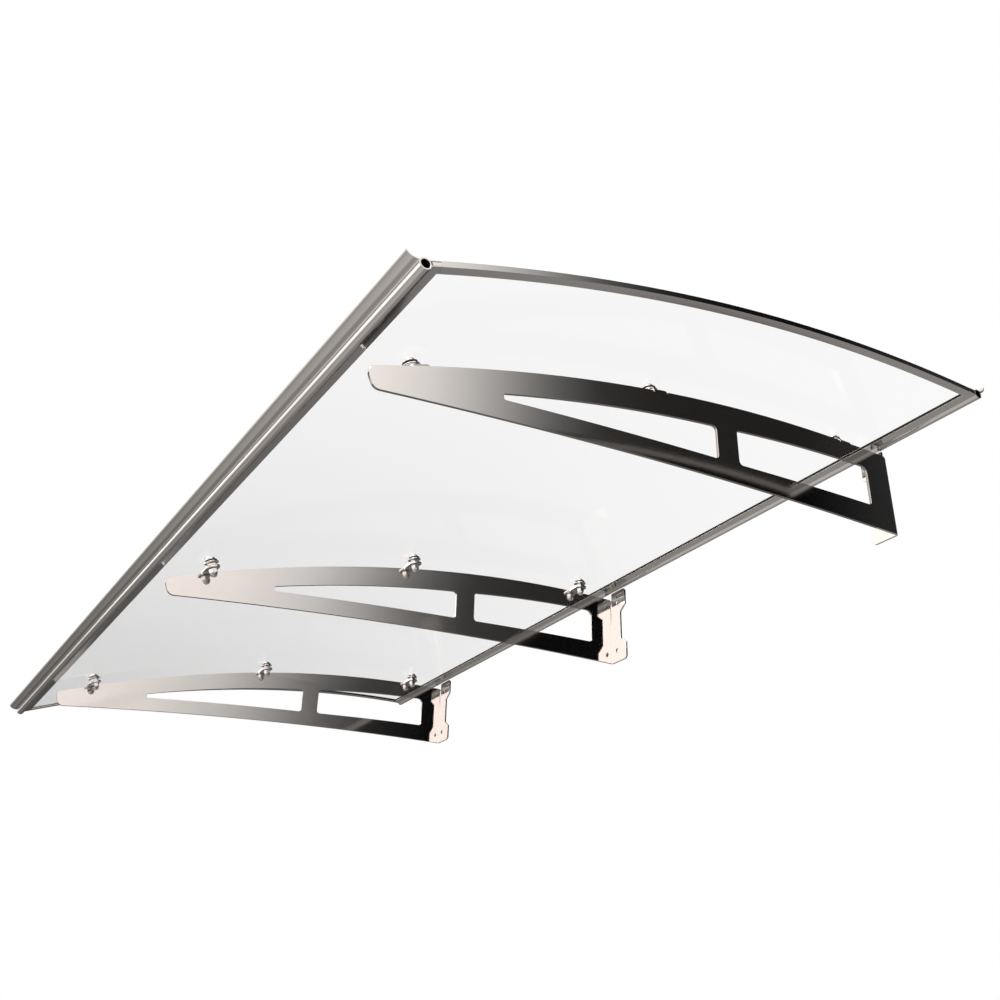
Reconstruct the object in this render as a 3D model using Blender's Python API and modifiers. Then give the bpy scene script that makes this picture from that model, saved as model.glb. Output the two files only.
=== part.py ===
# Door canopy: a clear curved sheet framed in aluminium, on three folded steel wall brackets.
# X runs along the wall, Y=0 is the wall face with the canopy on the -Y side, Z is up.
# The origin is on the back of the middle bracket's flange, midway between its two holes.

import math

import bmesh
import bpy
from mathutils import Matrix, Vector

# Sizes of the whole canopy, in metres
overall_width = 1.800
fit_gap = 0.0003

# Roof sheet, bent to a circle whose axis runs along X
arc_axis_y = 0.0754
arc_axis_z = -2.5584
sheet_underside_radius = 2.63545
sheet_thickness = 0.004
roof_steps = 32

# Rail section, the same at the wall and at the front: a tube, a slot for the sheet and a gutter wing
wall_tube_y = -0.0183
front_tube_y = -0.9563
tube_radius = 0.0074
bore_radius = 0.0056
tube_below_sheet_middle = 0.00045
jaw_reach = 0.0205
jaw_thickness = 0.00145
jaw_edge_radius = 0.0006
sheet_edge_from_tube = 0.0091
wing_radius = 0.0150
wing_thickness = 0.0016
wing_centre_out = 0.0040
wing_centre_up = 0.0204
wing_tip_angle = math.radians(-12.2)
wing_root_radius = 0.0010

# Side profile, a channel over each curved edge of the sheet
side_width = 0.0130
side_web = 0.0015
side_edge_radius = 0.0006

# Brackets, folded from plate
plate = 0.004
bend_inner_radius = 0.002
fold_stub = 0.014
side_bracket_inset = 0.188
middle_bracket_x = -0.008
bracket_hand = {"right": -1, "middle": 1, "left": 1}

# Bracket web
nose_from_front_tube = 0.0298
nose_height = 0.0292
nose_corner_radius = 0.0110
web_bottom_bow = 0.0118
window_from_nose = 0.1880
window_from_wall = 0.0560
post_y = -0.35775
post_width = 0.0405
top_chord = (0.0350, 0.0400, 0.0345)
bottom_chord = (0.0287, 0.0315, 0.0383)
window_corner_radius = 0.0060
window_tip_radius = 0.0030
window_rear_top_radius = 0.0100

# Wall flange of a bracket
flange_reach = 0.0450
flange_waist = 0.0290
flange_half_height = 0.0770
flange_shoulder_z = 0.0420
flange_waist_z = 0.0293
flange_chamfer = 0.0046
flange_hole_radius = 0.0045
flange_hole_from_web = 0.0165
flange_hole_z = 0.05285
flange_top_relief = 0.0015

# Tabs that carry the clamps
front_tab_from_tube = 0.0990
rear_tab_from_tube = 0.0790
middle_tab_from_midway = 0.0042
tab_width = 0.0240
tab_rise = 0.0007
tab_reach = 0.0275
tab_corner_radius = 0.0080
tab_hole_from_web = 0.0175
relief_width = 0.0010
relief_depth = 0.0010

# Clamps, each a bolt through the sheet and the tab
thread_radius = 0.0040
clearance_radius = 0.0045
across_flats = 0.0130
spacer_nut_height = 0.0049
lower_washer_radius = 0.0120
lower_washer_thickness = 0.0016
top_washer_radius = 0.0100
top_washer_thickness = 0.0015
head_radius = 0.0070
head_height = 0.0044
head_rim = 0.0005
head_flat_radius = 0.0034
socket_across_flats = 0.0050
socket_depth = 0.0025
thread_chamfer = 0.0007
cap_hex_height = 0.0080
cap_height = 0.0150
cap_dome_radius = 0.0061
cap_bore_depth = 0.0100
thread_in_cap = 0.0080
round_steps = 12

# Derived levels, as radii about the roof's axis
sheet_top_radius = sheet_underside_radius + sheet_thickness
tube_circle = sheet_underside_radius + sheet_thickness / 2 - tube_below_sheet_middle
slot_under_radius = sheet_underside_radius - fit_gap
slot_over_radius = sheet_top_radius + fit_gap
profile_under_radius = slot_under_radius - jaw_thickness
profile_over_radius = slot_over_radius + jaw_thickness
bend_outer_radius = bend_inner_radius + plate

# Derived levels of a clamp, measured up from the sheet's underside
top_washer_low = sheet_thickness + fit_gap
head_low = top_washer_low + top_washer_thickness + fit_gap
head_top = head_low + head_height
lower_washer_low = -fit_gap - lower_washer_thickness
spacer_nut_low = lower_washer_low - fit_gap - spacer_nut_height
tab_top = spacer_nut_low - fit_gap
cap_top = tab_top - plate - fit_gap
thread_end = cap_top - thread_in_cap
tab_top_radius = sheet_underside_radius + tab_top
web_top_radius = tab_top_radius - plate - tab_rise

# Derived places of the brackets, their windows and their tabs
bracket_outer_x = {
    "right": overall_width / 2 - side_bracket_inset,
    "middle": middle_bracket_x,
    "left": side_bracket_inset - overall_width / 2,
}
nose_y = front_tube_y + nose_from_front_tube
window_front_y = (nose_y + window_from_nose, post_y - post_width / 2)
window_rear_y = (post_y + post_width / 2, -window_from_wall)
front_tab_y = front_tube_y + front_tab_from_tube
rear_tab_y = wall_tube_y - rear_tab_from_tube
middle_tab_y = (front_tab_y + rear_tab_y) / 2 - middle_tab_from_midway
tab_y = {"front": front_tab_y, "middle": middle_tab_y, "rear": rear_tab_y}

for old in list(bpy.data.objects):
    bpy.data.objects.remove(old, do_unlink=True)

canopy = bpy.data.collections.new("door_canopy")
cutters = bpy.data.collections.new("cutters")
bpy.context.scene.collection.children.link(canopy)
bpy.context.scene.collection.children.link(cutters)


# Materials
def material(name, colour, metallic, roughness, transmission=0.0):
    made = bpy.data.materials.new(name)
    made.use_nodes = True
    shader = made.node_tree.nodes["Principled BSDF"]
    shader.inputs["Base Color"].default_value = (*colour, 1.0)
    shader.inputs["Metallic"].default_value = metallic
    shader.inputs["Roughness"].default_value = roughness
    shader.inputs["Transmission Weight"].default_value = transmission
    return made


materials = {
    "sheet": material("clear_sheet", (0.96, 0.97, 0.97), 0.0, 0.02, 1.0),
    "rail": material("rail_aluminium", (0.62, 0.61, 0.59), 1.0, 0.25),
    "side": material("side_profile_aluminium", (0.62, 0.61, 0.59), 1.0, 0.28),
    "bracket": material("bracket_steel", (0.60, 0.57, 0.54), 1.0, 0.30),
    "bolt": material("bolt_steel", (0.66, 0.64, 0.62), 1.0, 0.20),
    "top_washer": material("top_washer_rubber", (0.03, 0.03, 0.03), 0.0, 0.70),
    "lower_washer": material("lower_washer_steel", (0.66, 0.64, 0.62), 1.0, 0.22),
    "nut": material("nut_steel", (0.66, 0.64, 0.62), 1.0, 0.22),
    "cap_nut": material("cap_nut_steel", (0.68, 0.66, 0.64), 1.0, 0.15),
}


# Meshes and objects
def frame(origin, x_axis, y_axis):
    """Matrix whose Z is x_axis cross y_axis."""
    x, y = Vector(x_axis), Vector(y_axis)
    return Matrix.Translation(origin) @ Matrix((x, y, x.cross(y))).transposed().to_4x4()


def add(name, mesh, collection, matrix=Matrix()):
    obj = bpy.data.objects.new(name, mesh)
    obj.matrix_world = matrix
    collection.objects.link(obj)
    if collection == cutters:
        obj.hide_render = True
        obj.display_type = "WIRE"
    return obj


def add_node(name, mesh, kind, matrix=Matrix()):
    mesh.materials.clear()
    mesh.materials.append(materials[kind])
    return add(name, mesh, canopy, matrix)


def welded(mesh):
    bm = bmesh.new()
    bm.from_mesh(mesh)
    bmesh.ops.remove_doubles(bm, verts=bm.verts, dist=1e-6)
    bmesh.ops.recalc_face_normals(bm, faces=bm.faces)
    bm.to_mesh(mesh)
    bm.free()
    return mesh


def evaluated_mesh(obj):
    """The object's shape with its modifiers, as a mesh of its own; the object goes."""
    bpy.context.view_layer.update()
    graph = bpy.context.evaluated_depsgraph_get()
    mesh = bpy.data.meshes.new_from_object(obj.evaluated_get(graph), depsgraph=graph)
    mesh.name = obj.name
    bpy.data.objects.remove(obj, do_unlink=True)
    return welded(mesh)


def outline_mesh(name, outlines, thickness):
    """A flat plate in XY: the first outline is its edge, the others are holes in it."""
    curve = bpy.data.curves.new(name, "CURVE")
    curve.dimensions = "2D"
    curve.fill_mode = "BOTH"
    curve.extrude = thickness / 2
    for outline in outlines:
        spline = curve.splines.new("POLY")
        spline.points.add(len(outline) - 1)
        for point, (x, y) in zip(spline.points, outline):
            point.co = (x, y, 0.0, 1.0)
        spline.use_cyclic_u = True
    return evaluated_mesh(add(name, curve, cutters))


def turned_mesh(name, profile, closed=False):
    """A profile of (radius, height) points turned about Z."""
    points = [(radius, 0.0, height) for radius, height in profile]
    edges = [(i, i + 1) for i in range(len(points) - 1)]
    if closed:
        edges.append((len(points) - 1, 0))
    mesh = bpy.data.meshes.new(name)
    mesh.from_pydata(points, edges, [])
    obj = add(name, mesh, cutters)
    screw = obj.modifiers.new("turn", "SCREW")
    screw.axis = "Z"
    screw.angle = math.tau
    screw.steps = round_steps
    screw.render_steps = round_steps
    screw.use_merge_vertices = True
    screw.merge_threshold = 0.00001
    return evaluated_mesh(obj)


def prism_mesh(name, sides, radius, low, high):
    bm = bmesh.new()
    middle = Matrix.Translation((0.0, 0.0, (low + high) / 2))
    bmesh.ops.create_cone(
        bm, cap_ends=True, segments=sides, radius1=radius, radius2=radius,
        depth=high - low, matrix=middle,
    )
    mesh = bpy.data.meshes.new(name)
    bm.to_mesh(mesh)
    bm.free()
    return mesh


def spun_mesh(name, section, start, end):
    """A section of (x, radius) points swept about the roof's axis."""
    bm = bmesh.new()
    bm.faces.new([bm.verts.new((x, *on_roof(radius, start))) for x, radius in section])
    bmesh.ops.spin(
        bm, geom=bm.verts[:] + bm.edges[:] + bm.faces[:], cent=(0.0, arc_axis_y, arc_axis_z),
        axis=(1.0, 0.0, 0.0), angle=end - start, steps=roof_steps, use_duplicate=False,
    )
    mesh = bpy.data.meshes.new(name)
    bm.to_mesh(mesh)
    bm.free()
    return welded(mesh)


def boolean(obj, other, operation):
    modifier = obj.modifiers.new(other.name, "BOOLEAN")
    modifier.operation = operation
    modifier.object = other
    modifier.solver = "EXACT"


# Geometry helpers
def on_roof(radius, angle):
    """(y, z) at an angle from the vertical, growing towards the front."""
    return arc_axis_y - radius * math.sin(angle), arc_axis_z + radius * math.cos(angle)


def angle_at(y, radius):
    return math.asin((arc_axis_y - y) / radius)


def arc(centre, radius, start, end, steps):
    turns = [start + (end - start) * i / steps for i in range(steps + 1)]
    return [(centre[0] + radius * math.cos(a), centre[1] + radius * math.sin(a)) for a in turns]


def circle(centre, radius, steps):
    return arc(centre, radius, 0.0, math.tau, steps)[:-1]


def bearing(centre, point):
    return math.atan2(point[1] - centre[1], point[0] - centre[0])


def crossing(first, first_radius, second, second_radius):
    """The crossing of two circles on the right of the way from first to second."""
    way = Vector(second) - Vector(first)
    far = way.length
    along = (first_radius**2 - second_radius**2 + far**2) / (2 * far)
    aside = math.sqrt(first_radius**2 - along**2)
    way.normalize()
    point = Vector(first) + way * along + Vector((way.y, -way.x)) * aside
    return point.x, point.y


def rounded(points, steps=4):
    """Corners of (x, y, radius) as an outline, each corner with a radius made an arc."""
    outline = []
    for i, (x, y, radius) in enumerate(points):
        corner = Vector((x, y))
        if not radius:
            outline.append((x, y))
            continue
        back = (Vector(points[i - 1][:2]) - corner).normalized()
        ahead = (Vector(points[(i + 1) % len(points)][:2]) - corner).normalized()
        half = back.angle(ahead) / 2
        centre = corner + (back + ahead).normalized() * radius / math.sin(half)
        start = bearing(centre, corner + back * radius / math.tan(half))
        end = bearing(centre, corner + ahead * radius / math.tan(half))
        turn = math.remainder(end - start, math.tau)
        outline += arc(centre, radius, start, start + turn, steps)
    return outline


def between(stations, values, y):
    """The value at y on straight lines between stations that run from front to rear."""
    for i in range(len(stations) - 1):
        if y <= stations[i + 1] or i == len(stations) - 2:
            share = (y - stations[i]) / (stations[i + 1] - stations[i])
            return values[i] + (values[i + 1] - values[i]) * share


# Roof sheet with its clamp holes
wall_tube_angle = angle_at(wall_tube_y, tube_circle)
front_tube_angle = angle_at(front_tube_y, tube_circle)
sheet_half_width = overall_width / 2 - side_web - fit_gap
sheet_section = [
    (-sheet_half_width, sheet_underside_radius),
    (sheet_half_width, sheet_underside_radius),
    (sheet_half_width, sheet_top_radius),
    (-sheet_half_width, sheet_top_radius),
]
sheet_start = wall_tube_angle + sheet_edge_from_tube / tube_circle
sheet_end = front_tube_angle - sheet_edge_from_tube / tube_circle
roof_sheet = add_node("roof_sheet", spun_mesh("roof_sheet", sheet_section, sheet_start, sheet_end), "sheet")

# Rails
tube_centre = (0.0, 0.0)
wing_centre = (wing_centre_out, wing_centre_up)
wing_outer = wing_radius + wing_thickness / 2
wing_inner = wing_radius - wing_thickness / 2
wing_tip = arc(wing_centre, wing_radius, wing_tip_angle, wing_tip_angle, 1)[0]
root_centre = crossing(
    tube_centre, tube_radius + wing_root_radius, wing_centre, wing_outer + wing_root_radius
)
wing_joint = crossing(tube_centre, tube_radius, wing_centre, wing_inner)
jaw_under = profile_under_radius - tube_circle
slot_under = slot_under_radius - tube_circle
slot_over = slot_over_radius - tube_circle
jaw_over = profile_over_radius - tube_circle


def on_tube(height):
    """Bearing of the tube's side towards the sheet at a height above its centre."""
    return math.pi - math.asin(height / tube_radius)


jaw_tips = rounded(
    [
        (-jaw_reach, slot_under, 0.0),
        (-jaw_reach, jaw_under, jaw_edge_radius),
        (-jaw_reach / 2, jaw_under, 0.0),
    ],
    2,
)
rail_outline = (
    arc(tube_centre, tube_radius, on_tube(slot_over), on_tube(slot_under), 3)
    + jaw_tips[:-1]
    + arc(tube_centre, tube_radius, on_tube(jaw_under), bearing(tube_centre, root_centre) + math.tau, 16)
    + arc(
        root_centre, wing_root_radius, bearing(root_centre, tube_centre) + math.tau,
        bearing(root_centre, wing_centre), 3,
    )[1:-1]
    + arc(wing_centre, wing_outer, bearing(wing_centre, root_centre), wing_tip_angle, 9)
    + arc(wing_tip, wing_thickness / 2, wing_tip_angle, wing_tip_angle + math.pi, 4)[1:-1]
    + arc(wing_centre, wing_inner, wing_tip_angle, bearing(wing_centre, wing_joint), 9)
    + arc(tube_centre, tube_radius, bearing(tube_centre, wing_joint), on_tube(jaw_over), 6)[1:]
    + rounded(
        [
            (-jaw_reach / 2, jaw_over, 0.0),
            (-jaw_reach, jaw_over, jaw_edge_radius),
            (-jaw_reach, slot_over, 0.0),
        ],
        2,
    )[1:]
)
rail_mesh = outline_mesh(
    "rail", [rail_outline, circle(tube_centre, bore_radius, 24)], overall_width
)
for name, angle, outward in (("wall_rail", wall_tube_angle, 1), ("front_rail", front_tube_angle, -1)):
    out = (0.0, outward * math.cos(angle), outward * math.sin(angle))
    up = (0.0, -math.sin(angle), math.cos(angle))
    add_node(name, rail_mesh, "rail", frame((0.0, *on_roof(tube_circle, angle)), out, up))

# Side profiles between the rails' jaws, each with a tongue that closes the ends of the rails' slots
profile_start = wall_tube_angle + (jaw_reach + fit_gap) / tube_circle
profile_end = front_tube_angle - (jaw_reach + fit_gap) / tube_circle
for name, side in (("side_profile_right", 1), ("side_profile_left", -1)):
    outer_x = side * overall_width / 2
    web_x = side * (overall_width / 2 - side_web)
    lip_x = side * (overall_width / 2 - side_width)
    section = rounded(
        [
            (outer_x, profile_under_radius, side_edge_radius),
            (outer_x, profile_over_radius, side_edge_radius),
            (lip_x, profile_over_radius, 0.0),
            (lip_x, slot_over_radius, 0.0),
            (web_x, slot_over_radius, 0.0),
            (web_x, slot_under_radius, 0.0),
            (lip_x, slot_under_radius, 0.0),
            (lip_x, profile_under_radius, 0.0),
        ],
        2,
    )
    profile = add_node(name, spun_mesh(name, section, profile_start, profile_end), "side")
    tongue_outer_x = outer_x - side * fit_gap
    tongue_inner_x = web_x + side * fit_gap
    tongue_section = [
        (tongue_inner_x, sheet_underside_radius),
        (tongue_outer_x, sheet_underside_radius),
        (tongue_outer_x, sheet_top_radius),
        (tongue_inner_x, sheet_top_radius),
    ]
    tongue = spun_mesh(name + "_tongue", tongue_section, sheet_start, sheet_end)
    boolean(profile, add(name + "_tongue", tongue, cutters), "UNION")

# Outline of a bracket's web, in (y, z)
web_rear_y = -bend_outer_radius
nose_angle = angle_at(nose_y, web_top_radius)
nose_top = on_roof(web_top_radius, nose_angle)
nose_bottom = on_roof(web_top_radius - nose_height, nose_angle)


def web_bottom_z(y):
    share = (y - web_rear_y) / (nose_bottom[0] - web_rear_y)
    straight = (nose_bottom[1] + flange_half_height) * share - flange_half_height
    return straight + 4 * web_bottom_bow * share * (1 - share)


def web_top_z(y):
    return on_roof(web_top_radius, angle_at(y, web_top_radius))[1]


def stations(start, end, steps):
    return [start + (end - start) * i / steps for i in range(steps + 1)]


def web_outline():
    bottom = [(y, web_bottom_z(y), 0.0) for y in stations(web_rear_y, nose_bottom[0], 20)[:-1]]
    nose = [(*nose_bottom, nose_corner_radius), (*nose_top, nose_corner_radius)]
    half_notch = (tab_width / 2 + relief_width) / web_top_radius
    notch_floor = tab_top_radius - bend_outer_radius - relief_depth
    tab_angles = sorted((angle_at(y, tab_top_radius) for y in tab_y.values()), reverse=True)
    rear_angle = angle_at(web_rear_y, web_top_radius)
    top = []
    start = nose_angle
    for angle in tab_angles + [None]:
        end = rear_angle if angle is None else angle + half_notch
        top += [(*on_roof(web_top_radius, a), 0.0) for a in stations(start, end, 9)[start == nose_angle:]]
        if angle is not None:
            start = angle - half_notch
            top += [(*on_roof(notch_floor, end), 0.0), (*on_roof(notch_floor, start), 0.0)]
    return rounded(bottom + nose + top)


def window_outline(front_y, rear_y, radii):
    """A window between the web's chords; radii from the lower front corner round by the top."""
    along = (window_front_y[0], post_y, window_rear_y[1])
    top = [
        (y, web_top_z(y) - between(along, top_chord, y), 0.0)
        for y in stations(front_y, rear_y, 12)
    ]
    bottom = [
        (y, web_bottom_z(y) + between(along, bottom_chord, y), 0.0)
        for y in stations(rear_y, front_y, 12)
    ]
    top[0] = (*top[0][:2], radii[1])
    top[-1] = (*top[-1][:2], radii[2])
    bottom[0] = (*bottom[0][:2], radii[3])
    bottom[-1] = (*bottom[-1][:2], radii[0])
    return rounded(top + bottom, 3)


corner = window_corner_radius
tip = window_tip_radius
web_outlines = [
    web_outline(),
    window_outline(*window_front_y, (tip, tip, corner, corner)),
    window_outline(*window_rear_y, (corner, corner, window_rear_top_radius, corner)),
]


# A leaf folded from the web: a is the reach from the web's outer face, c is up from the leaf's outer face
def leaf(name, origin, hand, along, outward, half_length, reach, outlines):
    margin = plate
    bend = (bend_outer_radius, -bend_outer_radius)
    section = (
        [(0.0, -fold_stub)]
        + arc(bend, bend_outer_radius, math.pi, math.pi / 2, 6)
        + [(reach + margin, 0.0), (reach + margin, -plate)]
        + arc(bend, bend_inner_radius, math.pi / 2, math.pi, 6)
        + [(plate, -fold_stub)]
    )
    folded = outline_mesh(
        name, [[(hand * a, c) for a, c in section]], 2 * (half_length + margin)
    )
    across = (1.0, 0.0, 0.0)
    piece = add(name, folded, cutters, frame(origin, across, outward))
    plan = outline_mesh(
        name + "_plan", [[(hand * a, b) for a, b in outline] for outline in outlines],
        2 * (fold_stub + margin),
    )
    boolean(piece, add(name + "_plan", plan, cutters, frame(origin, across, along)), "INTERSECT")
    return piece


flange_edge = plate + flange_reach
flange_waist_edge = plate + flange_waist
flange_fold_top = web_top_z(web_rear_y) - flange_top_relief
flange_outline = [
    (-plate, -flange_half_height),
    (flange_edge - flange_chamfer, -flange_half_height),
    (flange_edge, flange_chamfer - flange_half_height),
    (flange_edge, -flange_shoulder_z),
    (flange_waist_edge, -flange_waist_z),
    (flange_waist_edge, flange_waist_z),
    (flange_edge, flange_shoulder_z),
    (flange_edge, flange_half_height - flange_chamfer),
    (flange_edge - flange_chamfer, flange_half_height),
    (bend_outer_radius, flange_half_height),
    (bend_outer_radius, flange_fold_top),
    (-plate, flange_fold_top),
]
flange_hole_a = plate + flange_hole_from_web
flange_outlines = [flange_outline] + [
    circle((flange_hole_a, z), flange_hole_radius, 16) for z in (-flange_hole_z, flange_hole_z)
]
tab_edge = plate + tab_reach
tab_hole_a = plate + tab_hole_from_web
tab_outlines = [
    rounded(
        [
            (-plate, -tab_width / 2, 0.0),
            (tab_edge, -tab_width / 2, tab_corner_radius),
            (tab_edge, tab_width / 2, tab_corner_radius),
            (-plate, tab_width / 2, 0.0),
        ],
        5,
    ),
    circle((tab_hole_a, 0.0), clearance_radius, round_steps),
]

# Brackets
for place, outer_x in bracket_outer_x.items():
    hand = bracket_hand[place]
    web_middle = (outer_x + hand * plate / 2, 0.0, 0.0)
    web = outline_mesh("bracket_" + place, web_outlines, plate)
    bracket = add_node(
        "bracket_" + place, web, "bracket", frame(web_middle, (0.0, 1.0, 0.0), (0.0, 0.0, 1.0))
    )
    flange = leaf(
        "flange_" + place, (outer_x, 0.0, 0.0), hand, (0.0, 0.0, 1.0), (0.0, 1.0, 0.0),
        flange_half_height, flange_edge, flange_outlines,
    )
    boolean(bracket, flange, "UNION")
    for row, y in tab_y.items():
        angle = angle_at(y, tab_top_radius)
        tab = leaf(
            "tab_" + place + "_" + row, (outer_x, *on_roof(tab_top_radius, angle)), hand,
            (0.0, -math.cos(angle), -math.sin(angle)), (0.0, -math.sin(angle), math.cos(angle)),
            tab_width / 2, tab_edge, tab_outlines,
        )
        boolean(bracket, tab, "UNION")

# Clamp pieces, each about a Z axis that starts on the sheet's underside
hex_corner = across_flats / 2 / math.cos(math.pi / 6)
nut_bore = thread_radius + fit_gap


def ring(name, radius, low, thickness):
    high = low + thickness
    profile = [(nut_bore, low), (nut_bore, high), (radius, high), (radius, low)]
    return turned_mesh(name, profile, closed=True)


def cut(name, mesh, cutter_mesh, operation):
    piece = add(name, mesh, cutters)
    cutter = add(name + "_cutter", cutter_mesh, cutters)
    boolean(piece, cutter, operation)
    made = evaluated_mesh(piece)
    bpy.data.objects.remove(cutter, do_unlink=True)
    return made


dome_base = head_low + head_rim
head_dome = [
    (
        head_flat_radius + (head_radius - head_flat_radius) * math.sin(turn),
        dome_base + (head_top - dome_base) * math.cos(turn),
    )
    for turn in stations(0.0, math.pi / 2, 3)
]
bolt_profile = (
    [(0.0, head_top)]
    + head_dome
    + [(head_radius, head_low), (thread_radius, head_low)]
    + [(thread_radius, thread_end + thread_chamfer), (thread_radius - thread_chamfer, thread_end)]
    + [(0.0, thread_end)]
)
socket_corner = socket_across_flats / 2 / math.cos(math.pi / 6)
bolt_mesh = cut(
    "clamp_bolt", turned_mesh("bolt_blank", bolt_profile),
    prism_mesh("socket", 6, socket_corner, head_top - socket_depth, head_top + socket_depth),
    "DIFFERENCE",
)
top_washer_mesh = ring("top_seal_washer", top_washer_radius, top_washer_low, top_washer_thickness)
lower_washer_mesh = ring("lower_washer", lower_washer_radius, lower_washer_low, lower_washer_thickness)
spacer_nut_mesh = cut(
    "spacer_nut",
    prism_mesh("spacer_blank", 6, hex_corner, spacer_nut_low, spacer_nut_low + spacer_nut_height),
    prism_mesh("spacer_bore", round_steps, nut_bore, spacer_nut_low - plate, tab_top + cap_height),
    "DIFFERENCE",
)
dome_height = cap_height - cap_hex_height
cap_dome = [
    (cap_dome_radius * math.cos(turn), cap_top - cap_hex_height - dome_height * math.sin(turn))
    for turn in stations(0.0, math.pi / 2, 4)
]
cap_blank = (
    [(0.0, cap_top - cap_bore_depth), (nut_bore, cap_top - cap_bore_depth), (nut_bore, cap_top)]
    + [(2 * hex_corner, cap_top), (2 * hex_corner, cap_top - cap_hex_height)]
    + cap_dome[:-1]
    + [(0.0, cap_top - cap_height)]
)
cap_nut_mesh = cut(
    "cap_nut", turned_mesh("cap_blank", cap_blank),
    prism_mesh("cap_hexagon", 6, hex_corner, cap_top - 2 * cap_height, cap_top + cap_height),
    "INTERSECT",
)
clamp_pieces = {
    "clamp_bolt": (bolt_mesh, "bolt"),
    "top_seal_washer": (top_washer_mesh, "top_washer"),
    "lower_washer": (lower_washer_mesh, "lower_washer"),
    "spacer_nut": (spacer_nut_mesh, "nut"),
    "cap_nut": (cap_nut_mesh, "cap_nut"),
}

# Clamps on their tabs, and the hole of each in the sheet
for place, outer_x in bracket_outer_x.items():
    for row, y in tab_y.items():
        angle = angle_at(y, tab_top_radius)
        foot = (
            outer_x + bracket_hand[place] * tab_hole_a, *on_roof(sheet_underside_radius, angle)
        )
        clamp = bpy.data.objects.new("clamp_" + place + "_" + row, None)
        clamp.location = foot
        clamp.rotation_euler = (angle, 0.0, 0.0)
        canopy.objects.link(clamp)
        for kind, (mesh, look) in clamp_pieces.items():
            piece = add_node(kind + "_" + place + "_" + row, mesh, look)
            piece.parent = clamp
        drill = prism_mesh(
            "sheet_hole", round_steps, clearance_radius, -sheet_thickness, 2 * sheet_thickness
        )
        drill_object = add("sheet_hole_" + place + "_" + row, drill, cutters)
        drill_object.parent = clamp
        boolean(roof_sheet, drill_object, "DIFFERENCE")

# Smooth shading on the round shapes, with sharp edges kept
for obj in canopy.objects:
    if obj.type == "MESH":
        obj.data.shade_smooth()
        obj.data.set_sharp_from_angle(angle=math.radians(35))
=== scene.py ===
import math

import bmesh
import bpy
from mathutils import Matrix, Vector


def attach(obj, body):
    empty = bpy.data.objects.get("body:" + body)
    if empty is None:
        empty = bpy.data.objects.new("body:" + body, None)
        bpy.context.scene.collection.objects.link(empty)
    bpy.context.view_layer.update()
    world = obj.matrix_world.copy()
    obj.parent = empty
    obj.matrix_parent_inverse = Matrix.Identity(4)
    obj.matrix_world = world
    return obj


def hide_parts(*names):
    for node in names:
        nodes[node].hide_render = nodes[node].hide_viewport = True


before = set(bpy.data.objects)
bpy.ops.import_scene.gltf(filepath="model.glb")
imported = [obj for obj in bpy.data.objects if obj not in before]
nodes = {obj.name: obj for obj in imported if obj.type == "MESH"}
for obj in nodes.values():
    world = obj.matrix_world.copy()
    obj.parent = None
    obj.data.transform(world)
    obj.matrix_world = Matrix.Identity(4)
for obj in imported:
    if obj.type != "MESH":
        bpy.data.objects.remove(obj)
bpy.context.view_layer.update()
print("frame loaded:", len(nodes), "nodes")


# node helpers
mixA, mixB, mixResult = 6, 7, 2  # a Mix node's sockets when it mixes colours


def socket(node, name, value):
    node.inputs[name].default_value = value


def addNode(tree, kind, place, **settings):
    node = tree.nodes.new(kind)
    node.location = place
    for name, value in settings.items():
        setattr(node, name, value)
    return node


def emptyMaterial(name):
    material = bpy.data.materials.new(name)
    material.use_nodes = True
    return material, material.node_tree, material.node_tree.nodes["Principled BSDF"]


# grain and handling marks, shared by the metals, the rubber and the sheet
grainNoise = {"Scale": 1.0, "Detail": 3.0, "Roughness": 0.6}
marksNoise = {"Scale": 0.012, "Detail": 4.0, "Roughness": 0.65}
noiseMiddle = 0.5
bumpDistance = 0.0002  # metres


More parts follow.
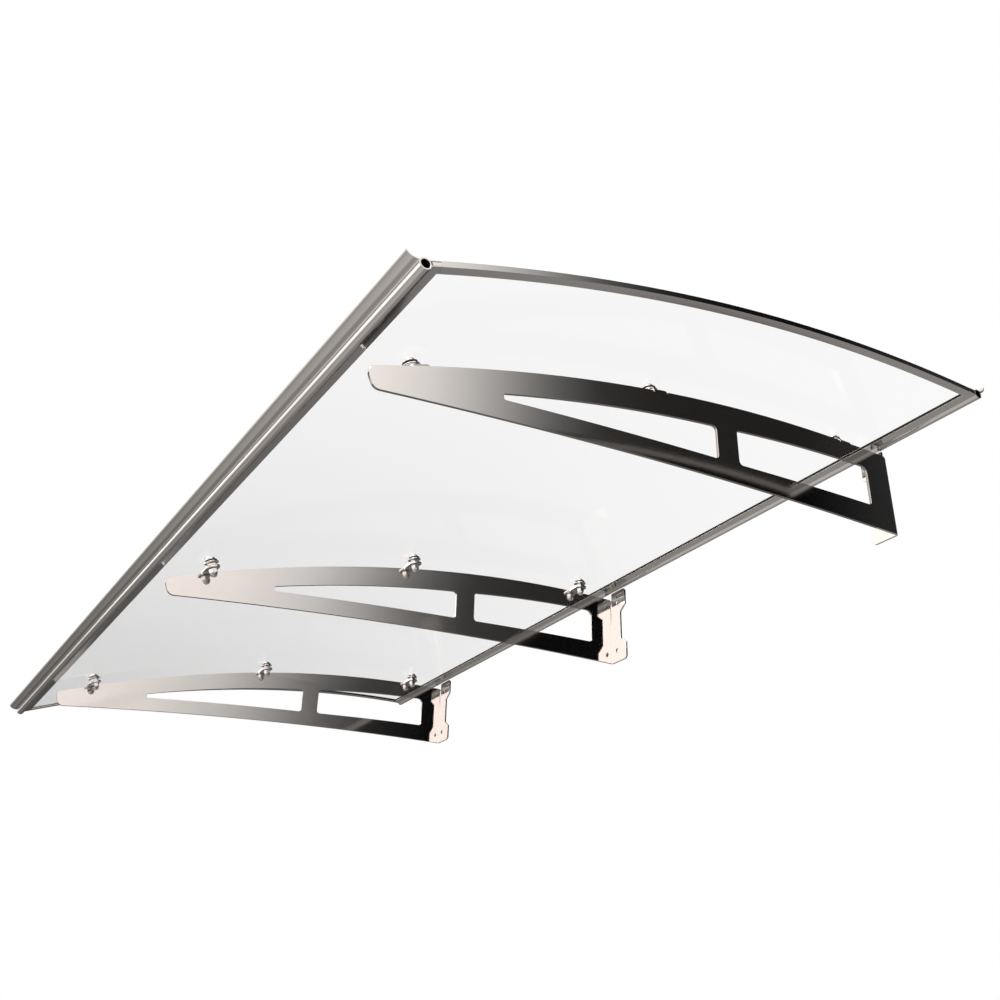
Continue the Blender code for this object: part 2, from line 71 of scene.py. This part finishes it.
def makeSurfaceGroup():
    group = bpy.data.node_groups.new("surfaceGrain", "ShaderNodeTree")
    sockets = group.interface
    sockets.new_socket("Vector", in_out="INPUT", socket_type="NodeSocketVector")
    for name, value in (("Grain", 1.0), ("Marks", 1.0), ("Base Roughness", 0.2), ("Tone Depth", 0.05)):
        made = sockets.new_socket(name, in_out="INPUT", socket_type="NodeSocketFloat")
        made.default_value = value
    sockets.new_socket("Tint", in_out="INPUT", socket_type="NodeSocketColor")
    for name, kind in (("Colour", "Color"), ("Roughness", "Float"), ("Height", "Float")):
        sockets.new_socket(name, in_out="OUTPUT", socket_type="NodeSocket" + kind)
    start = addNode(group, "NodeGroupInput", (-900, 0))
    end = addNode(group, "NodeGroupOutput", (700, 0))

    def centredNoise(values, amount, place):  # noise about zero, times the amount
        x, y = place
        noise = addNode(group, "ShaderNodeTexNoise", (x, y))
        for name, value in values.items():
            socket(noise, name, value)
        low = addNode(group, "ShaderNodeMath", (x + 220, y), operation="SUBTRACT")
        low.inputs[1].default_value = noiseMiddle
        scaled = addNode(group, "ShaderNodeMath", (x + 390, y), operation="MULTIPLY")
        group.links.new(start.outputs["Vector"], noise.inputs["Vector"])
        group.links.new(noise.outputs["Fac"], low.inputs[0])
        group.links.new(low.outputs[0], scaled.inputs[0])
        group.links.new(amount, scaled.inputs[1])
        return scaled.outputs[0]

    grainPart = centredNoise(grainNoise, start.outputs["Grain"], (-650, 200))
    marksPart = centredNoise(marksNoise, start.outputs["Marks"], (-650, -150))
    total = addNode(group, "ShaderNodeMath", (-60, 60), operation="ADD")
    group.links.new(grainPart, total.inputs[0])
    group.links.new(marksPart, total.inputs[1])
    rough = addNode(group, "ShaderNodeMath", (140, 60), operation="MULTIPLY_ADD")
    group.links.new(total.outputs[0], rough.inputs[0])
    group.links.new(start.outputs["Base Roughness"], rough.inputs[1])
    group.links.new(start.outputs["Base Roughness"], rough.inputs[2])
    tone = addNode(group, "ShaderNodeMath", (140, 260), operation="MULTIPLY_ADD")
    group.links.new(total.outputs[0], tone.inputs[0])
    group.links.new(start.outputs["Tone Depth"], tone.inputs[1])
    tone.inputs[2].default_value = 1.0
    tinted = addNode(group, "ShaderNodeVectorMath", (340, 260), operation="SCALE")
    group.links.new(start.outputs["Tint"], tinted.inputs[0])
    group.links.new(tone.outputs[0], tinted.inputs["Scale"])
    group.links.new(tinted.outputs[0], end.inputs["Colour"])
    group.links.new(rough.outputs[0], end.inputs["Roughness"])
    group.links.new(grainPart, end.inputs["Height"])
    return group


surfaceGrain = makeSurfaceGroup()


def makeFinish(name, look):  # grainPerMetre stretches the grain along a piece
    material, tree, shader = emptyMaterial(name)
    place = addNode(tree, "ShaderNodeTexCoord", (-1000, 0))
    mapping = addNode(tree, "ShaderNodeMapping", (-800, 0))
    socket(mapping, "Scale", look["grainPerMetre"])
    group = addNode(tree, "ShaderNodeGroup", (-560, 0), node_tree=surfaceGrain)
    socket(group, "Grain", look["grain"])
    socket(group, "Marks", look["marks"])
    socket(group, "Base Roughness", look["roughness"])
    socket(group, "Tone Depth", look["toneDepth"])
    socket(group, "Tint", (*look["tint"], 1.0))
    bump = addNode(tree, "ShaderNodeBump", (-300, -250))
    socket(bump, "Strength", look["bump"])
    socket(bump, "Distance", bumpDistance)
    tree.links.new(place.outputs["Object"], mapping.inputs["Vector"])
    tree.links.new(mapping.outputs["Vector"], group.inputs["Vector"])
    tree.links.new(group.outputs["Colour"], shader.inputs["Base Color"])
    tree.links.new(group.outputs["Roughness"], shader.inputs["Roughness"])
    tree.links.new(group.outputs["Height"], bump.inputs["Height"])
    tree.links.new(bump.outputs["Normal"], shader.inputs["Normal"])
    socket(shader, "Metallic", look["metallic"])
    for name, value in look.get("sockets", {}).items():
        socket(shader, name, value)
    return material


finishes = {
    "sheet": {
        "tint": (1.0, 1.0, 1.0), "roughness": 0.008, "metallic": 0.0, "grain": 0.3, "marks": 0.3,
        "toneDepth": 0.006, "bump": 0.006, "grainPerMetre": (25, 25, 25),
        "sockets": {"Transmission Weight": 1.0, "IOR": 1.22},
    },
    "rail": {
        "tint": (0.80, 0.785, 0.765), "roughness": 0.11, "metallic": 1.0, "grain": 0.6, "marks": 0.3,
        "toneDepth": 0.06, "bump": 0.05, "grainPerMetre": (12, 1500, 1500),
    },
    "side": {
        "tint": (0.80, 0.785, 0.765), "roughness": 0.12, "metallic": 1.0, "grain": 0.6, "marks": 0.3,
        "toneDepth": 0.06, "bump": 0.05, "grainPerMetre": (1500, 12, 1500),
    },
    "bracket": {
        "tint": (0.93, 0.90, 0.88), "roughness": 0.07, "metallic": 1.0, "grain": 0.8, "marks": 0.35,
        "toneDepth": 0.06, "bump": 0.05, "grainPerMetre": (1200, 40, 1200),
    },
    "cutEdge": {
        "tint": (0.38, 0.355, 0.335), "roughness": 0.24, "metallic": 1.0, "grain": 0.8, "marks": 0.5,
        "toneDepth": 0.25, "bump": 0.2, "grainPerMetre": (60, 900, 900),
    },
    "fastener": {
        "tint": (0.88, 0.865, 0.85), "roughness": 0.045, "metallic": 1.0, "grain": 0.5, "marks": 0.4,
        "toneDepth": 0.05, "bump": 0.02, "grainPerMetre": (900, 900, 900),
    },
    "rubber": {
        "tint": (0.022, 0.021, 0.020), "roughness": 0.62, "metallic": 0.0, "grain": 0.5, "marks": 0.3,
        "toneDepth": 0.5, "bump": 0.25, "grainPerMetre": (1400, 1400, 1400),
    },
}
materials = {name: makeFinish(name + "Finish", look) for name, look in finishes.items()}
print("materials made:", len(materials))


# pieces
weld = {"copies": 0.000005, "made": 0.000002}  # metres
flatWithin = 0.05  # degrees, between faces that are joined in one


def asPiece(name, bm, material, slot, smoothAngle, *replaced):
    mesh = bpy.data.meshes.new(name)
    bm.to_mesh(mesh)
    bm.free()
    mesh.materials.append(material)
    mesh.shade_smooth()
    mesh.set_sharp_from_angle(angle=math.radians(smoothAngle))
    piece = bpy.data.objects.new(name, mesh)
    bpy.context.scene.collection.objects.link(piece)
    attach(piece, "root")
    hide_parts(*replaced)
    return piece


def refinedCopy(nodeName, pieceName, settings):
    bm = bmesh.new()
    bm.from_mesh(nodes[nodeName].data)
    for layer in list(bm.loops.layers.uv):
        bm.loops.layers.uv.remove(layer)
    bmesh.ops.remove_doubles(bm, verts=bm.verts, dist=weld["copies"])
    bmesh.ops.dissolve_limit(bm, angle_limit=math.radians(flatWithin), verts=bm.verts, edges=bm.edges)
    limit = math.radians(settings["bevelOver"])
    edges = [edge for edge in bm.edges if edge.is_manifold and edge.calc_face_angle() > limit]
    bmesh.ops.bevel(
        bm, geom=edges, offset=settings["bevel"], offset_type="OFFSET", affect="EDGES",
        segments=settings["segments"], profile=0.5, material=-1, clamp_overlap=False,
    )
    finish = materials[settings["finish"]]
    piece = asPiece(pieceName, bm, finish, settings["slot"], settings["smoothAngle"], nodeName)
    weighted = piece.modifiers.new("flatFacesFirst", "WEIGHTED_NORMAL")
    weighted.keep_sharp = True
    return piece


plateSettings = {
    "bevel": 0.0003, "segments": 1, "bevelOver": 50, "smoothAngle": 32, "finish": "bracket", "slot": "bracket",
}
# a web's cut edges: faces between its two sides, clear of the flange's fold
cutEdges = {
    "webFace": {"left": -0.712, "middle": -0.008, "right": 0.712},
    "reach": 0.0042, "across": 0.002, "facing": 0.3, "foldY": -0.006,
}
railSettings = {
    "bevel": 0.00015, "segments": 1, "bevelOver": 60, "smoothAngle": 32, "finish": "rail", "slot": "rail",
}
sideSettings = {
    "bevel": 0.00015, "segments": 1, "bevelOver": 60, "smoothAngle": 32,
    "finish": "side", "slot": "side_profile",
}
sheetSettings = {
    "bevel": 0.0002, "segments": 1, "bevelOver": 60, "smoothAngle": 20, "finish": "sheet", "slot": "sheet",
}


def darkenCutEdges(piece, webX):  # they take the second material
    piece.data.materials.append(materials["cutEdge"])
    for face in piece.data.polygons:
        corners = [piece.data.vertices[index].co for index in face.vertices]
        inWeb = all(abs(corner.x - webX) < cutEdges["reach"] for corner in corners)
        across = max(corner.x for corner in corners) - min(corner.x for corner in corners)
        upright = abs(face.normal.x) < cutEdges["facing"]
        clear = max(corner.y for corner in corners) < cutEdges["foldY"]
        if inWeb and across > cutEdges["across"] and upright and clear:
            face.material_index = 1


for place, webX in cutEdges["webFace"].items():
    darkenCutEdges(refinedCopy("bracket_" + place, "bracketPlate_" + place, plateSettings), webX)
for place in ("front", "wall"):
    refinedCopy(place + "_rail", place + "Rail", railSettings)
for place in ("left", "right"):
    refinedCopy("side_profile_" + place, "sideProfile_" + place, sideSettings)
refinedCopy("roof_sheet", "roofSheet", sheetSettings)
print("plate and profiles refined")


# clamps: local Z is the sheet's normal, its zero the sheet's underside
roof = {"axisY": 0.0754, "axisZ": -2.5584, "underRadius": 2.63545}  # the arc of the sheet's underside
clamps = {
    "sides": {"left": -0.6905, "middle": 0.0135, "right": 0.6905},
    "rows": {"front": 20.787, "middle": 12.234, "rear": 3.768},  # degrees along the roof from its top
    "smoothAngle": 30,
}
roundSteps = 48
boltLook = {
    "low": 0.0061, "high": 0.0105, "radius": 0.0070, "rim": 0.0012, "rimRound": 0.0004, "flat": 0.0040,
    "crownStep": 10, "socketFlats": 0.0050, "socketDepth": 0.0025,
    "shank": 0.0039, "shankEnd": -0.0192, "shankRound": 0.0006, "finish": "fastener", "slot": "fastener",
}
topWasherLook = {
    "low": 0.0043, "high": 0.0058, "radius": 0.0100, "hole": 0.0043, "round": 0.0006,
    "finish": "rubber", "slot": "washer",
}
lowerWasherLook = {
    "low": -0.0019, "high": -0.0003, "radius": 0.0120, "hole": 0.0043, "round": 0.0004,
    "finish": "fastener", "slot": "fastener",
}
washerEdge = {"rim": 0.3, "hole": 0.5}  # how far in their edges' middle points lie, as shares of "round"
# a nut's corners turn down, by cornerTurn degrees, outside a circle that is this share of its flats
nutCorners = {"faceShare": 0.94, "cornerTurn": 28}
spacerLook = {
    "low": -0.0071, "high": -0.0022, "flats": 0.0130, "hole": 0.0041, "finish": "fastener", "slot": "fastener",
}
capLook = {
    "low": -0.0197, "high": -0.0117, "flats": 0.0130, "hole": 0.0041,
    "domeRadius": 0.0061, "domeLow": -0.0267, "domeSunk": 0.0004, "domeCollar": 0.0012, "domeStep": 9,
    "finish": "fastener", "slot": "fastener",
}


def turned(bm, profile):  # an (x, z) profile spun about local Z
    verts = [bm.verts.new((x, 0.0, z)) for x, z in profile]
    edges = [bm.edges.new(pair) for pair in zip(verts, verts[1:])]
    bmesh.ops.spin(
        bm, geom=verts + edges, cent=(0, 0, 0), axis=(0, 0, 1), angle=math.tau, steps=roundSteps, use_merge=True
    )


def only(kind, items):  # the vertices or the edges of an operator's result
    return [item for item in items if isinstance(item, kind)]


def circleOf(bm, radius):
    verts = bmesh.ops.create_circle(bm, segments=roundSteps, radius=radius, cap_ends=False)["verts"]
    return verts, list({edge for vert in verts for edge in vert.link_edges})


def hexagonReach(vert, half):  # how far six flats lie from local Z on a vertex's bearing
    turn = math.atan2(vert.co.y, vert.co.x)
    return half / max(math.cos(turn - math.radians(60 * side)) for side in range(6))


def moveTo(vert, reach, height):  # a vertex keeps its bearing
    scale = reach / math.hypot(vert.co.x, vert.co.y)
    vert.co = (vert.co.x * scale, vert.co.y * scale, height)


def washer(bm, look):
    low, high, out, hole = look["low"], look["high"], look["radius"], look["hole"]
    rim, middle, inner = look["round"], washerEdge["rim"] * look["round"], washerEdge["hole"] * look["round"]
    turned(bm, [
        (hole, low + inner), (hole + inner, low), (out - rim, low), (out - middle, low + middle),
        (out, low + rim), (out, high - rim), (out - middle, high - middle), (out - rim, high),
        (hole + inner, high), (hole, high - inner), (hole, low + inner),
    ])


def hexagonNut(bm, look):  # with its bore, from the lower flats up, through the bore and back
    half, low, high = look["flats"] / 2, look["low"], look["high"]
    face, slope = nutCorners["faceShare"] * half, math.tan(math.radians(nutCorners["cornerTurn"]))
    verts, edges = circleOf(bm, half)
    rings = (
        ("flats", low, 1), ("flats", high, -1), ("face", high, 0), ("bore", high, 0),
        ("bore", low, 0), ("face", low, 0), ("flats", low, 1),
    )
    for step, (kind, height, way) in enumerate(rings):
        if step:
            pulled = bmesh.ops.extrude_edge_only(bm, edges=edges)["geom"]
            verts = only(bmesh.types.BMVert, pulled)
            edges = [edge for edge in only(bmesh.types.BMEdge, pulled) if set(edge.verts) <= set(verts)]
        for vert in verts:
            reach = {"flats": hexagonReach(vert, half), "face": face, "bore": look["hole"]}[kind]
            moveTo(vert, reach, height + way * (reach - face) * slope)


def capNut(bm, look):  # the dome is a closed body that reaches a little way into the nut
    hexagonNut(bm, look)
    radius, join = look["domeRadius"], look["low"] + look["domeSunk"]
    collar = join - look["domeCollar"]
    arc = [math.radians(turn) for turn in range(look["domeStep"], 91, look["domeStep"])]
    turned(bm, [
        (0.0, join), (radius, join), (radius, collar),
        *((radius * math.cos(turn), collar - (collar - look["domeLow"]) * math.sin(turn)) for turn in arc),
    ])


def bolt(bm, look):  # a domed head with a hexagon socket, and a plain shank
    low, high, radius, flat = look["low"], look["high"], look["radius"], look["flat"]
    shank, end, rimTop = look["shank"], look["shankEnd"], look["low"] + look["rim"]
    arc = [math.radians(turn) for turn in range(90, -1, -look["crownStep"])]
    turned(bm, [
        (0.0, end), (shank - look["shankRound"], end), (shank, end + look["shankRound"]), (shank, low),
        (radius - look["rimRound"], low), (radius, low + look["rimRound"]),
        *((flat + (radius - flat) * math.sin(turn), rimTop + (high - rimTop) * math.cos(turn)) for turn in arc),
    ])
    rim = [
        edge for edge in bm.edges
        if edge.is_boundary and all(abs(vert.co.z - high) < weld["made"] for vert in edge.verts)
    ]
    mouthVerts, mouth = circleOf(bm, look["socketFlats"] / 2)
    for vert in mouthVerts:
        moveTo(vert, hexagonReach(vert, look["socketFlats"] / 2), high)
    bmesh.ops.bridge_loops(bm, edges=rim + mouth)
    walls = bmesh.ops.extrude_edge_only(bm, edges=mouth)["geom"]
    bmesh.ops.translate(bm, verts=only(bmesh.types.BMVert, walls), vec=(0, 0, -look["socketDepth"]))
    bmesh.ops.contextual_create(bm, geom=only(bmesh.types.BMEdge, walls))


def makeClamps():
    kinds = (
        ("clamp_bolt", "clampBolt", bolt, boltLook),
        ("top_seal_washer", "topSealWasher", washer, topWasherLook),
        ("lower_washer", "lowerWasher", washer, lowerWasherLook),
        ("spacer_nut", "spacerNut", hexagonNut, spacerLook),
        ("cap_nut", "capNut", capNut, capLook),
    )
    made = 0
    for nodeKind, pieceKind, build, look in kinds:
        for side, x in clamps["sides"].items():
            for row, degrees in clamps["rows"].items():
                bm = bmesh.new()
                build(bm, look)
                bmesh.ops.remove_doubles(bm, verts=bm.verts, dist=weld["made"])
                bmesh.ops.recalc_face_normals(bm, faces=bm.faces)
                turn = math.radians(degrees)
                y = roof["axisY"] - roof["underRadius"] * math.sin(turn)
                z = roof["axisZ"] + roof["underRadius"] * math.cos(turn)
                seat = Matrix.Translation((x, y, z)) @ Matrix.Rotation(turn, 4, "X")
                bmesh.ops.transform(bm, verts=bm.verts, matrix=seat)
                place = "_" + side + "_" + row
                finish = materials[look["finish"]]
                asPiece(pieceKind + place, bm, finish, look["slot"], clamps["smoothAngle"], nodeKind + place)
                made += 1
    return made


print("clamps made:", makeClamps(), "pieces")

# the thin seal between the sheet and the wall rail's lower lip
sealLook = {
    "degrees": 2.0364, "circle": 2.637, "fromTube": 0.0234, "height": -0.0020,
    "half": (0.0027, 0.0004), "length": 1.7720, "segments": 20, "smoothAngle": 40,
}


def makeSeal():  # an oval drawn out along X, laid on the wall rail's slope
    bm = bmesh.new()
    length, turn = sealLook["length"], math.radians(sealLook["degrees"])
    oval = bmesh.ops.create_circle(bm, cap_ends=True, segments=sealLook["segments"], radius=1.0)["verts"]
    bmesh.ops.scale(bm, verts=oval, vec=(*sealLook["half"], 1.0))
    bmesh.ops.translate(bm, verts=oval, vec=(-sealLook["fromTube"], sealLook["height"], -length / 2))
    pulled = bmesh.ops.extrude_face_region(bm, geom=list(bm.faces))["geom"]
    bmesh.ops.translate(bm, verts=only(bmesh.types.BMVert, pulled), vec=(0, 0, length))
    ahead, upward = (0, math.cos(turn), math.sin(turn)), (0, -math.sin(turn), math.cos(turn))
    axes = Matrix((ahead, upward, (1, 0, 0))).transposed().to_4x4()
    y = roof["axisY"] - sealLook["circle"] * math.sin(turn)
    z = roof["axisZ"] + sealLook["circle"] * math.cos(turn)
    bmesh.ops.transform(bm, verts=bm.verts, matrix=Matrix.Translation((0, y, z)) @ axes)
    bmesh.ops.recalc_face_normals(bm, faces=bm.faces)
    asPiece("wallRailSeal", bm, materials["rubber"], "washer", sealLook["smoothAngle"])


makeSeal()
print("seal made")


# floor, mirrored surroundings, lamps and camera
mirroredDepth = 0.5  # a ray's glossy depth above which it has met metal
floorLook = {"z": -2.10, "radius": 40.0, "segments": 96, "colour": (0.80, 0.80, 0.79), "roughness": 0.9}
# a wall of light to the right of the camera, seen only in metal: its light along Y, its share by height
mirrorWall = {
    "x": 4.0, "y": (-8.0, 8.0), "z": (-0.6, 9.0), "strength": 1.30,
    "light": (
        (-0.5, (1.05, 0.95, 0.90)), (0.1, (0.94, 0.87, 0.82)), (0.5, (0.82, 0.78, 0.75)),
        (0.9, (0.61, 0.595, 0.58)), (1.1, (0.46, 0.45, 0.44)), (1.3, (0.31, 0.305, 0.30)),
        (1.5, (0.17, 0.168, 0.165)), (1.7, (0.08, 0.08, 0.08)), (2.0, (0.014, 0.014, 0.014)),
        (2.5, (0.002, 0.002, 0.002)), (3.7, (0.001, 0.001, 0.001)), (4.1, (0.007, 0.007, 0.007)),
        (4.5, (0.016, 0.016, 0.016)),
    ),
    "byHeight": (
        (-0.6, (0.46, 0.47, 0.48)), (0.5, (0.56, 0.57, 0.58)), (1.15, (1.0, 1.0, 1.0)), (9.0, (1.0, 1.0, 1.0)),
    ),
}
studio = {
    "white": 1.0, "diffuseLevel": 0.75,  # to the camera and through the sheet, and to plain surfaces
    # what metal mirrors: light by its bearing about the X axis, degrees up from +Y, the wall's side
    "mirrored": (
        (-180, (1.25, 1.21, 1.18)), (-168, (1.30, 1.26, 1.23)), (-158, (0.74, 0.71, 0.69)),
        (-146, (0.30, 0.285, 0.27)), (-130, (0.40, 0.38, 0.365)), (-90, (0.46, 0.44, 0.42)),
        (-74, (0.28, 0.265, 0.255)), (-40, (0.24, 0.23, 0.22)), (-15, (0.20, 0.19, 0.185)),
        (30, (0.10, 0.10, 0.10)), (60, (0.02, 0.02, 0.02)), (90, (0.90, 0.83, 0.79)),
        (125, (1.25, 1.14, 1.07)), (180, (1.25, 1.21, 1.18)),
    ),
    # how much of it below the horizon, by the mirrored ray's X, and the Z between which this sets in
    "mirroredShare": (
        (-1.0, (0.40, 0.40, 0.40)), (-0.93, (0.45, 0.45, 0.45)), (-0.85, (0.75, 0.75, 0.75)),
        (-0.75, (1.0, 1.0, 1.0)), (-0.60, (1.3, 1.3, 1.3)), (0.0, (1.0, 1.0, 1.0)),
        (0.5, (0.6, 0.6, 0.6)), (1.0, (0.6, 0.6, 0.6)),
    ),
    "horizon": (0.12, 0.02),
}
lamps = {
    "keyLamp": {"place": (1.5, -3.0, 3.2), "size": 2.4, "power": 60},
    "fillLamp": {"place": (-3.2, -2.2, 1.6), "size": 2.6, "power": 35},
}
lampTarget = (0.0, -0.45, 0.0)
camera = {
    "place": (1.6746, -1.3525, -0.8756), "yaw": 147.566, "pitch": 28.715, "roll": 1.51,
    "lens": 39.93, "sensor": 36.0, "clip": (0.05, 100.0),
}


def makeFloor():
    bm = bmesh.new()
    bmesh.ops.create_circle(bm, cap_ends=True, radius=floorLook["radius"], segments=floorLook["segments"])
    bmesh.ops.translate(bm, verts=bm.verts, vec=(0.0, 0.0, floorLook["z"]))
    mesh = bpy.data.meshes.new("floor")
    bm.to_mesh(mesh)
    bm.free()
    material, tree, shader = emptyMaterial("floorPaint")
    socket(shader, "Base Color", (*floorLook["colour"], 1.0))
    socket(shader, "Roughness", floorLook["roughness"])
    mesh.materials.append(material)
    floor = bpy.data.objects.new("floor", mesh)
    bpy.context.scene.collection.objects.link(floor)
    seeThrough = addNode(tree, "ShaderNodeBsdfTransparent", (-200, 200))
    onlyInMetal(tree, seeThrough, shader)


def onlyInMetal(tree, mirrored, direct):  # one shader for rays that metal has mirrored, one for the rest
    path = addNode(tree, "ShaderNodeLightPath", (-600, 400))
    seen = addNode(tree, "ShaderNodeMath", (-400, 400), operation="GREATER_THAN")
    seen.inputs[1].default_value = mirroredDepth
    mix = addNode(tree, "ShaderNodeMixShader", (200, 200))
    tree.links.new(path.outputs["Glossy Depth"], seen.inputs[0])
    tree.links.new(seen.outputs[0], mix.inputs["Fac"])
    tree.links.new(direct.outputs[0], mix.inputs[1])
    tree.links.new(mirrored.outputs[0], mix.inputs[2])
    tree.links.new(mix.outputs[0], tree.nodes["Material Output"].inputs["Surface"])


def lightRamp(tree, source, stops, place):  # colours at given values of a coordinate
    low, high = stops[0][0], stops[-1][0]
    spread = addNode(tree, "ShaderNodeMapRange", (place[0] - 250, place[1]))
    socket(spread, "From Min", low)
    socket(spread, "From Max", high)
    ramp = addNode(tree, "ShaderNodeValToRGB", place)
    ramp.color_ramp.interpolation = "LINEAR"
    while len(ramp.color_ramp.elements) < len(stops):
        ramp.color_ramp.elements.new(0.5)
    for element, (value, colour) in zip(ramp.color_ramp.elements, stops):
        element.position = (value - low) / (high - low)
        element.color = (*colour, 1.0)
    tree.links.new(source, spread.inputs["Value"])
    tree.links.new(spread.outputs["Result"], ramp.inputs["Fac"])
    return ramp.outputs["Color"]


def makeMirrorWall():
    bm = bmesh.new()
    bmesh.ops.create_grid(bm, x_segments=1, y_segments=1, size=0.5)
    (lowY, highY), (lowZ, highZ) = mirrorWall["y"], mirrorWall["z"]
    bmesh.ops.scale(bm, verts=bm.verts, vec=(highZ - lowZ, highY - lowY, 1.0))
    upright = Matrix.Rotation(math.radians(-90), 3, "Y")
    bmesh.ops.rotate(bm, verts=bm.verts, cent=(0, 0, 0), matrix=upright)
    bmesh.ops.translate(bm, verts=bm.verts, vec=(mirrorWall["x"], (lowY + highY) / 2, (lowZ + highZ) / 2))
    mesh = bpy.data.meshes.new("mirrorWall")
    bm.to_mesh(mesh)
    bm.free()
    material, tree, shader = emptyMaterial("mirrorWallLight")
    mesh.materials.append(material)
    wall = bpy.data.objects.new("mirrorWall", mesh)
    bpy.context.scene.collection.objects.link(wall)
    place = addNode(tree, "ShaderNodeTexCoord", (-1300, 0))
    split = addNode(tree, "ShaderNodeSeparateXYZ", (-1100, 0))
    tree.links.new(place.outputs["Object"], split.inputs[0])
    glow = addNode(tree, "ShaderNodeEmission", (-200, 0))
    product = addNode(tree, "ShaderNodeMix", (-380, 0), data_type="RGBA", blend_type="MULTIPLY")
    socket(product, 0, 1.0)
    along = lightRamp(tree, split.outputs["Y"], mirrorWall["light"], (-600, 100))
    upward = lightRamp(tree, split.outputs["Z"], mirrorWall["byHeight"], (-600, -200))
    tree.links.new(along, product.inputs[mixA])
    tree.links.new(upward, product.inputs[mixB])
    tree.links.new(product.outputs[mixResult], glow.inputs["Color"])
    socket(glow, "Strength", mirrorWall["strength"])
    seeThrough = addNode(tree, "ShaderNodeBsdfTransparent", (-200, -200))
    onlyInMetal(tree, glow, seeThrough)
    tree.nodes.remove(shader)


def makeWorld():
    world = bpy.data.worlds.new("studioWorld")
    bpy.context.scene.world = world
    world.use_nodes = True
    tree = world.node_tree
    background = tree.nodes["Background"]
    coordinate = addNode(tree, "ShaderNodeTexCoord", (-1500, 0))
    split = addNode(tree, "ShaderNodeSeparateXYZ", (-1300, 0))
    tree.links.new(coordinate.outputs["Generated"], split.inputs[0])
    bearing = addNode(tree, "ShaderNodeMath", (-1100, 0), operation="ARCTAN2")
    tree.links.new(split.outputs["Z"], bearing.inputs[0])
    tree.links.new(split.outputs["Y"], bearing.inputs[1])
    stops = [(math.radians(degrees), colour) for degrees, colour in studio["mirrored"]]
    metalSky = lightRamp(tree, bearing.outputs[0], stops, (-650, 50))
    share = lightRamp(tree, split.outputs["X"], studio["mirroredShare"], (-650, -250))
    horizon = addNode(tree, "ShaderNodeMapRange", (-900, -450))
    socket(horizon, "From Min", studio["horizon"][0])
    socket(horizon, "From Max", studio["horizon"][1])
    tree.links.new(split.outputs["Z"], horizon.inputs["Value"])
    shaded = addNode(tree, "ShaderNodeMix", (-380, 0), data_type="RGBA", blend_type="MULTIPLY")
    tree.links.new(horizon.outputs["Result"], shaded.inputs["Factor"])
    tree.links.new(metalSky, shaded.inputs[mixA])
    tree.links.new(share, shaded.inputs[mixB])
    path = addNode(tree, "ShaderNodeLightPath", (-1000, 450))
    shown = addNode(tree, "ShaderNodeMath", (-800, 550), operation="MAXIMUM")
    tree.links.new(path.outputs["Is Camera Ray"], shown.inputs[0])
    tree.links.new(path.outputs["Is Transmission Ray"], shown.inputs[1])
    plain = addNode(tree, "ShaderNodeMix", (-600, 400), data_type="RGBA")
    plain.inputs[mixA].default_value = (*[studio["diffuseLevel"]] * 3, 1.0)
    plain.inputs[mixB].default_value = (*[studio["white"]] * 3, 1.0)
    tree.links.new(shown.outputs[0], plain.inputs["Factor"])
    mirrored = addNode(tree, "ShaderNodeMath", (-800, 300), operation="GREATER_THAN")
    mirrored.inputs[1].default_value = mirroredDepth
    tree.links.new(path.outputs["Glossy Depth"], mirrored.inputs[0])
    final = addNode(tree, "ShaderNodeMix", (-350, 200), data_type="RGBA")
    tree.links.new(mirrored.outputs[0], final.inputs["Factor"])
    tree.links.new(plain.outputs[mixResult], final.inputs[mixA])
    tree.links.new(shaded.outputs[mixResult], final.inputs[mixB])
    tree.links.new(final.outputs[mixResult], background.inputs["Color"])
    socket(background, "Strength", 1.0)


def makeLamps():
    for name, values in lamps.items():
        light = bpy.data.lights.new(name, "AREA")
        light.shape = "DISK"
        light.size = values["size"]
        light.energy = values["power"]
        lamp = bpy.data.objects.new(name, light)
        lamp.location = values["place"]
        aim = Vector(lampTarget) - lamp.location
        lamp.rotation_mode = "QUATERNION"
        lamp.rotation_quaternion = aim.to_track_quat("-Z", "Y")
        bpy.context.scene.collection.objects.link(lamp)


def makeCamera():
    yaw, pitch, roll = (math.radians(camera[name]) for name in ("yaw", "pitch", "roll"))
    ahead = Vector((math.cos(pitch) * math.cos(yaw), math.cos(pitch) * math.sin(yaw), math.sin(pitch)))
    side = ahead.cross(Vector((0, 0, 1))).normalized()
    up = side.cross(ahead)
    right = side * math.cos(roll) + up * math.sin(roll)
    top = up * math.cos(roll) - side * math.sin(roll)
    lens = bpy.data.cameras.new("photoCamera")
    lens.sensor_width = camera["sensor"]
    lens.lens = camera["lens"]
    lens.clip_start, lens.clip_end = camera["clip"]
    eye = bpy.data.objects.new("photoCamera", lens)
    facing = Matrix((right, top, -ahead)).transposed().to_4x4()
    eye.matrix_world = Matrix.Translation(camera["place"]) @ facing
    bpy.context.scene.collection.objects.link(eye)
    bpy.context.scene.camera = eye


makeFloor()
makeMirrorWall()
makeWorld()
makeLamps()
makeCamera()
bpy.context.scene.view_settings.view_transform = "Standard"
print("studio ready")
